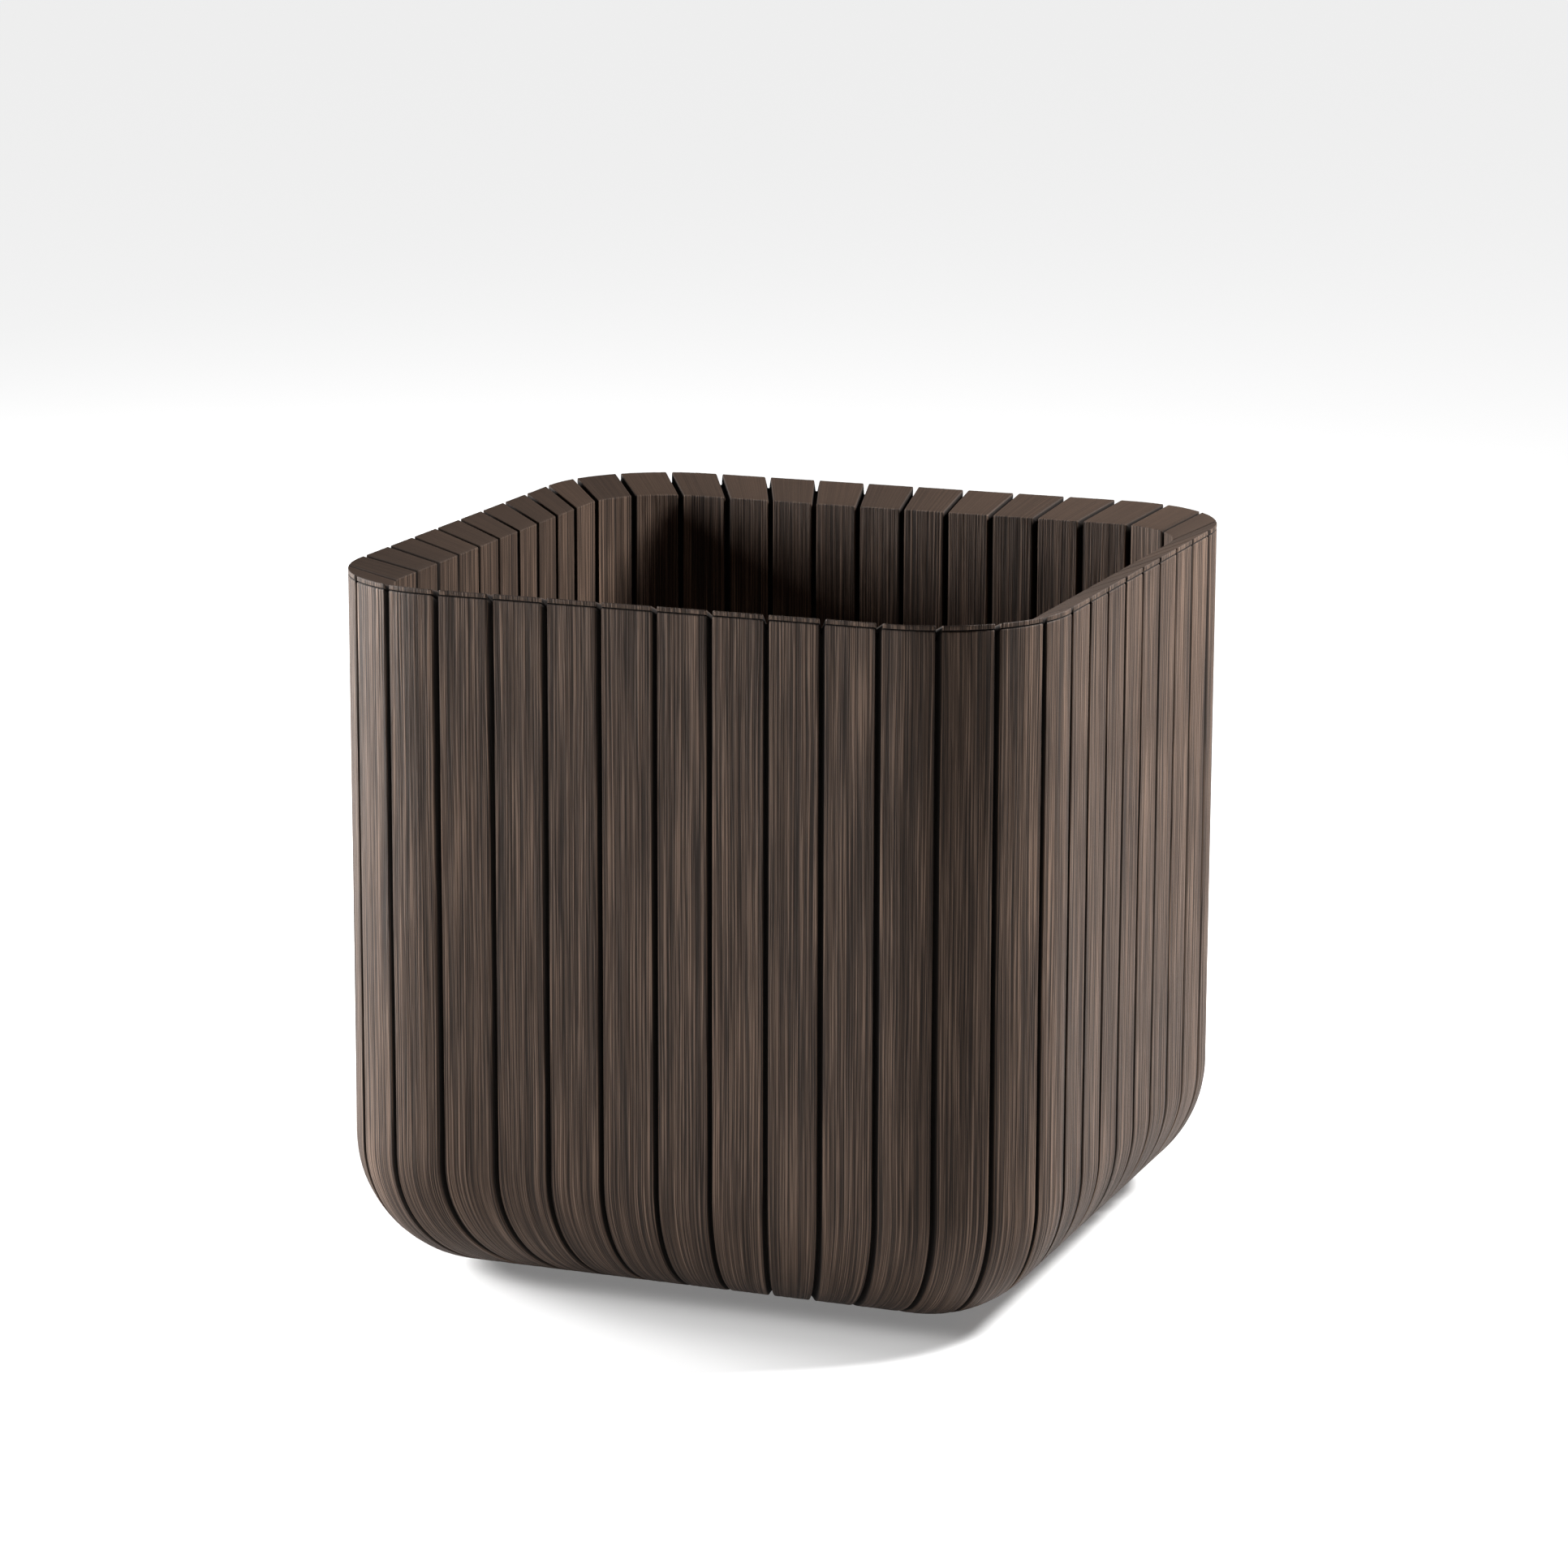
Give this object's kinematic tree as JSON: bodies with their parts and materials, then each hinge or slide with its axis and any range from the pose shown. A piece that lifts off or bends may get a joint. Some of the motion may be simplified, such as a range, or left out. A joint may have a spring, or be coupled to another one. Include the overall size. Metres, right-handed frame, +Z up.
{
  "type": "planter box",
  "caption": "Square resin planter box with rounded corners and bottom edge, grooved like upright wooden staves, with a lift-out liner, drain grate, drain plug and rubber feet.",
  "frame": {"origin": "centre of the footprint, on the surface the feet stand on", "axes": "+Z up, +X to the right and +Y to the back, seen from the front; the four sides are alike"},
  "size_m": [0.395, 0.395, 0.381],
  "materials": {
    "resin_shell": "satin, moulded wood grain",
    "resin_liner": "satin, moulded wood grain",
    "grate_plastic": "matte",
    "plug_plastic": "matte",
    "seal_rubber": "matte",
    "foot_rubber": "matte"
  },
  "bodies": {
    "shell": {"outer_shell": "resin_shell", "foot_front_left": "foot_rubber", "foot_front_right": "foot_rubber", "foot_rear_left": "foot_rubber", "foot_rear_right": "foot_rubber"},
    "liner": {"inner_liner": "resin_liner"},
    "grate": {"drain_grate": "grate_plastic"},
    "plug": {"drain_plug": "plug_plastic", "plug_seal": "seal_rubber"}
  },
  "joints": [
    {"name": "liner_lift", "type": "slide", "parent": "shell", "child": "liner", "axis": [0, 0, 1], "range_m": [0, 0.36]},
    {"name": "grate_lift", "type": "slide", "parent": "liner", "child": "grate", "axis": [0, 0, 1], "range_m": [0, 0.36]},
    {"name": "plug_pull", "type": "slide", "parent": "shell", "child": "plug", "axis": [0, 0, -1], "range_m": [0, 0.03]}
  ]
}
